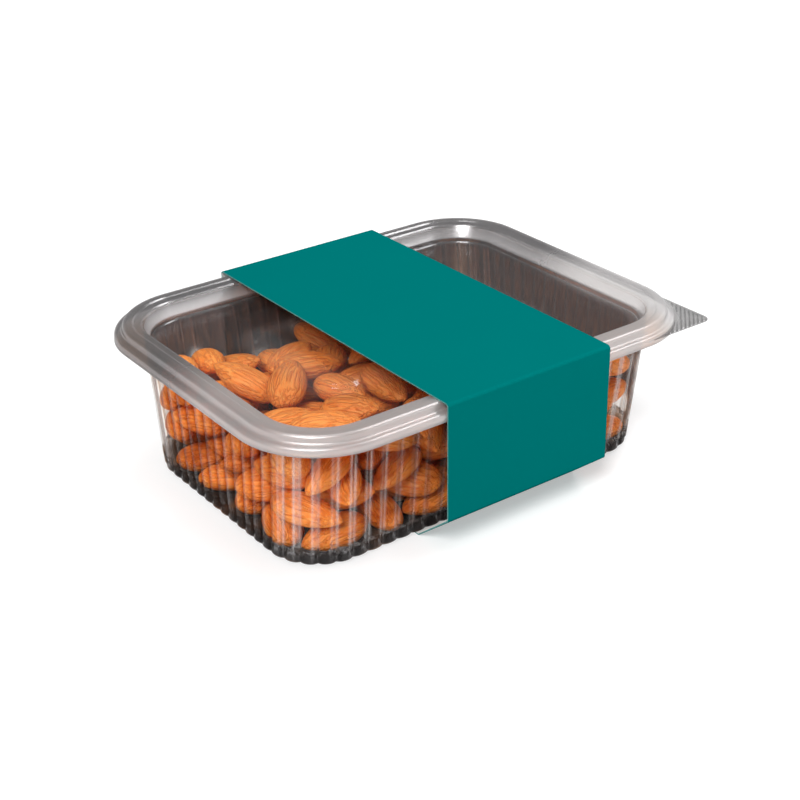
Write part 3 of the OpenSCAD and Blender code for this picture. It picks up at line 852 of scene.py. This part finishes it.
def boardMaterial(name, tones, scale, detail, roughness):
    # Colour = between two tones by a fibre noise, for the unprinted board
    material, tree = newMaterial(name)
    place = addNode(tree, "ShaderNodeTexCoord").outputs["Object"]
    grain = {"Vector": place, "Scale": scale, "Detail": detail}
    fibre = addNode(tree, "ShaderNodeTexNoise", grain).outputs[0]
    colour = ramp(tree, fibre, [(0.3, tones[0]), (0.7, tones[1])])
    shader = addNode(tree, "ShaderNodeBsdfPrincipled", {"Base Color": colour, "Roughness": roughness})
    finishMaterial(tree, shader.outputs[0])
    return material


def closedFillet(points, radius, steps):
    # The closed outline's corners rounded by arcs: the line is run past its own start and trimmed
    points = [tuple(p) for p in points]
    line = filletLine(points + points[:2], [radius] * len(points), steps)
    return line[1:-1]


def makeSleeve(material, core, inside):
    # Point = the band's outer outline along the pack, then its inner one on the way back, closed at the cuts
    side = pack["halfY"] + card["slideGap"]
    foot = wallY - wall["sideLean"] + card["slideGap"]
    foldZ = pack["baseZ"] + card["foldZ"]
    inner = np.array([
        (side, foldZ), (side, pack["topZ"] + card["slideGap"]), (-side, pack["topZ"] + card["slideGap"]),
        (-side, foldZ), (-foot, card["thick"]), (foot, card["thick"]),
    ])
    loop = np.vstack([inner[-1:], inner, inner[:1]])
    outer = offsetLine(loop, card["thick"])[1:-1]
    outerLine = closedFillet(outer, card["foldR"], 8)
    innerLine = closedFillet(inner, card["foldR"] - card["thick"], 8)
    left, right, cut = sleeveLow[0], sleeveHigh[0], card["cut"]
    x = np.array([left, left + cut, (left + right) / 2, right - cut, right])
    count = len(outerLine)
    outRing = [np.column_stack([np.full(count, v), outerLine]) for v in x]
    inRing = [np.column_stack([np.full(count, v), innerLine]) for v in x[::-1]]
    points = np.stack(outRing + inRing)
    rows = len(points)
    quads = gridFaces(rows, count)
    last = (rows - 1) * count
    ring = np.arange(count)
    after = np.roll(ring, -1)
    closing = np.stack([last + ring, last + after, after, ring], -1)
    faces = faceList(quads, closing)
    sleeve = meshPiece("cardSleeve", points, faces, material, "sleeve")
    mesh = sleeve.data
    mesh.materials.append(core)
    mesh.materials.append(inside)
    part = np.zeros(len(faces), int)
    part[4 * count:5 * count] = 1
    part[5 * count:] = 2
    part[-count:] = 1
    mesh.polygons.foreach_set("material_index", part)
    mesh.polygons.foreach_set("use_smooth", part != 1)
    return sleeve, outer


def makeLap(outer, material):
    # The lap lies on the back's lower panel: point = fold + distance along the panel + thickness outwards
    foot, top = outer[5], outer[0]
    along = (top - foot) / np.linalg.norm(top - foot)
    out = np.array([along[1], -along[0]])
    first, thick = 2 * card["foldR"], card["thick"]
    last = first + card["lap"]
    line = filletLine([(first, 0.0), (first, thick), (last, thick), (last, 0.0)], [0.1, 0.1], 3)
    section = foot + line[:, :1] * along + line[:, 1:] * out
    x = np.array([sleeveLow[0], sleeveHigh[0]])
    points = np.stack([np.column_stack([np.full(len(section), v), section]) for v in x])
    count = len(section)
    faces = faceList(gridFaces(2, count), [range(count)[::-1], range(count, 2 * count)])
    meshPiece("gluedLap", points, faces, material, "sleeve", smooth=False)


cardTeal = cardMaterial()
cardInside = boardMaterial("cardInside", card["inside"], 500.0, 4.0, 0.85)
cardCore = boardMaterial("cardCore", card["core"], 1500.0, 2.0, 0.9)
sleeve, sleeveOuter = makeSleeve(cardTeal, cardCore, cardInside)
makeLap(sleeveOuter, cardTeal)
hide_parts("sleeve")
print("sleeve made")


# Studio: pale floor, soft key from the front left, softboxes at the right, above and low in front, dim room

studio = {
    "floor": (0.66, 0.66, 0.66),
    "floorGlow": 0.03,
    "floorWhite": 0.36,
    "keyAngle": (-54, 46),
    "keyPower": 2.6,
    "keySize": 25,
    "stripPlace": (0.62, -0.1, 0.93),
    "stripSize": (0.26, 0.85),
    "stripPower": 5.0,
    "topPlace": (-0.1, 0.1, 0.95),
    "topSize": (0.22, 0.22),
    "topPower": 1.0,
    "frontPlace": (0.55, -0.81, 0.38),
    "frontSize": (0.3, 0.12),
    "frontPower": 0.8,
    "room": ((0.0, 0.95), (0.2, 0.85), (0.38, 0.2), (0.6, 0.17), (0.8, 0.25), (1.0, 0.35)),  # height, grey
}


def makeFloor():
    # A flat grid; glow = a little always, and the rest of the way to white where a ray shows it
    reach, cells = 30.0, 2
    place = np.linspace(-reach, reach, cells + 1)
    x, y = np.meshgrid(place, place)
    points = np.stack([x, y, np.zeros_like(x)], -1)
    mesh = bpy.data.meshes.new("studioFloor")
    faces = faceList(gridFaces(cells + 1, cells + 1, closed=False))
    mesh.from_pydata(points.reshape(-1, 3), [], faces)
    material, tree = newMaterial("paleFloor")
    matt = addNode(tree, "ShaderNodeBsdfDiffuse", {"Color": (*studio["floor"], 1)})
    path = addNode(tree, "ShaderNodeLightPath").outputs
    seen = mathNode(tree, "MAXIMUM", path["Is Camera Ray"], path["Is Glossy Ray"])
    seen = mathNode(tree, "MAXIMUM", seen, path["Is Transmission Ray"])
    strength = mathNode(tree, "MULTIPLY_ADD", seen, studio["floorWhite"], studio["floorGlow"])
    glow = addNode(tree, "ShaderNodeEmission", {"Strength": strength})
    shader = addNode(tree, "ShaderNodeAddShader", {0: matt.outputs[0], 1: glow.outputs[0]})
    finishMaterial(tree, shader.outputs[0])
    mesh.materials.append(material)
    floor = bpy.data.objects.new("studioFloor", mesh)
    bpy.context.scene.collection.objects.link(floor)


def backOf(azimuth, elevation):
    # Direction to a place at azimuth a and elevation e: (sin a cos e, -cos a cos e, sin e)
    a, e = math.radians(azimuth), math.radians(elevation)
    return Vector((math.sin(a) * math.cos(e), -math.cos(a) * math.cos(e), math.sin(e)))


def addSun(name, angles, power, size):
    # The light comes from an azimuth, counted as the camera's, and an elevation
    back = backOf(*angles)
    lamp = bpy.data.lights.new(name, "SUN")
    lamp.energy = power
    lamp.angle = math.radians(size)
    sun = bpy.data.objects.new(name, lamp)
    sun.rotation_mode = "QUATERNION"
    sun.rotation_quaternion = (-back).to_track_quat("-Z", "Y")
    sun.location = back
    bpy.context.scene.collection.objects.link(sun)


def addBox(name, place, size, power, along, aim=(0, 0, 0.03)):
    # A softbox that faces a point of the pack, its second size along the given direction
    lamp = bpy.data.lights.new(name, "AREA")
    lamp.shape = "RECTANGLE"
    lamp.size, lamp.size_y = size
    lamp.energy = power
    strip = bpy.data.objects.new(name, lamp)
    back = (Vector(place) - Vector(aim)).normalized()
    side = Vector(along).cross(back).normalized()
    pose = Matrix((side, back.cross(side), back)).transposed().to_4x4()
    pose.translation = Vector(place)
    strip.matrix_world = pose
    bpy.context.scene.collection.objects.link(strip)


def makeWorld():
    # Grey by the direction's height, below the horizon brightest
    world = bpy.data.worlds.new("studioRoom")
    world.use_nodes = True
    tree = world.node_tree
    tree.nodes.clear()
    place = addNode(tree, "ShaderNodeTexCoord").outputs["Generated"]
    height = addNode(tree, "ShaderNodeSeparateXYZ", {0: place}).outputs[2]
    colour = ramp(tree, height, [(rise, (grey,) * 3) for rise, grey in studio["room"]])
    back = addNode(tree, "ShaderNodeBackground", {0: colour, 1: 1.0})
    addNode(tree, "ShaderNodeOutputWorld", {0: back.outputs[0]})
    bpy.context.scene.world = world


# Camera: the photograph's viewpoint, found from the pack's own edges

view = {
    "eye": (-0.26998, -0.37022, 0.25584),
    "azimuth": -36.101,
    "elevation": 26.357,
    "roll": -0.91,
    "focal": 1542.5,
    "centre": (396.87, 370.57),
    "frame": 800,
}


def makeCamera():
    # Axes = right, up and back of the view, the first two turned by the roll; lens = focal length over the
    # frame times the sensor; shift = middle of the frame less the view's centre, over the frame
    azimuth = math.radians(view["azimuth"])
    back = backOf(view["azimuth"], view["elevation"])
    right = Vector((math.cos(azimuth), math.sin(azimuth), 0))
    up = back.cross(right)
    turn = math.radians(view["roll"])
    axisX = math.cos(turn) * right + math.sin(turn) * up
    axisY = -math.sin(turn) * right + math.cos(turn) * up
    data = bpy.data.cameras.new("photoCamera")
    data.sensor_width = 36
    data.lens = view["focal"] / view["frame"] * data.sensor_width
    data.shift_x = (view["frame"] / 2 - view["centre"][0]) / view["frame"]
    data.shift_y = (view["centre"][1] - view["frame"] / 2) / view["frame"]
    camera = bpy.data.objects.new("photoCamera", data)
    pose = Matrix((axisX, axisY, back)).transposed().to_4x4()
    pose.translation = Vector(view["eye"])
    camera.matrix_world = pose
    bpy.context.scene.collection.objects.link(camera)
    bpy.context.scene.camera = camera


makeFloor()
addSun("keyLight", studio["keyAngle"], studio["keyPower"], studio["keySize"])
addBox("stripLight", studio["stripPlace"], studio["stripSize"], studio["stripPower"], (0, 1, 0))
addBox("topLight", studio["topPlace"], studio["topSize"], studio["topPower"], (1, 0, 0))
addBox("frontLight", studio["frontPlace"], studio["frontSize"], studio["frontPower"], (0, 0, 1))
makeWorld()
makeCamera()
bpy.context.scene.view_settings.view_transform = "Standard"
bpy.context.scene.cycles.transparent_max_bounces = 48
print("studio made")
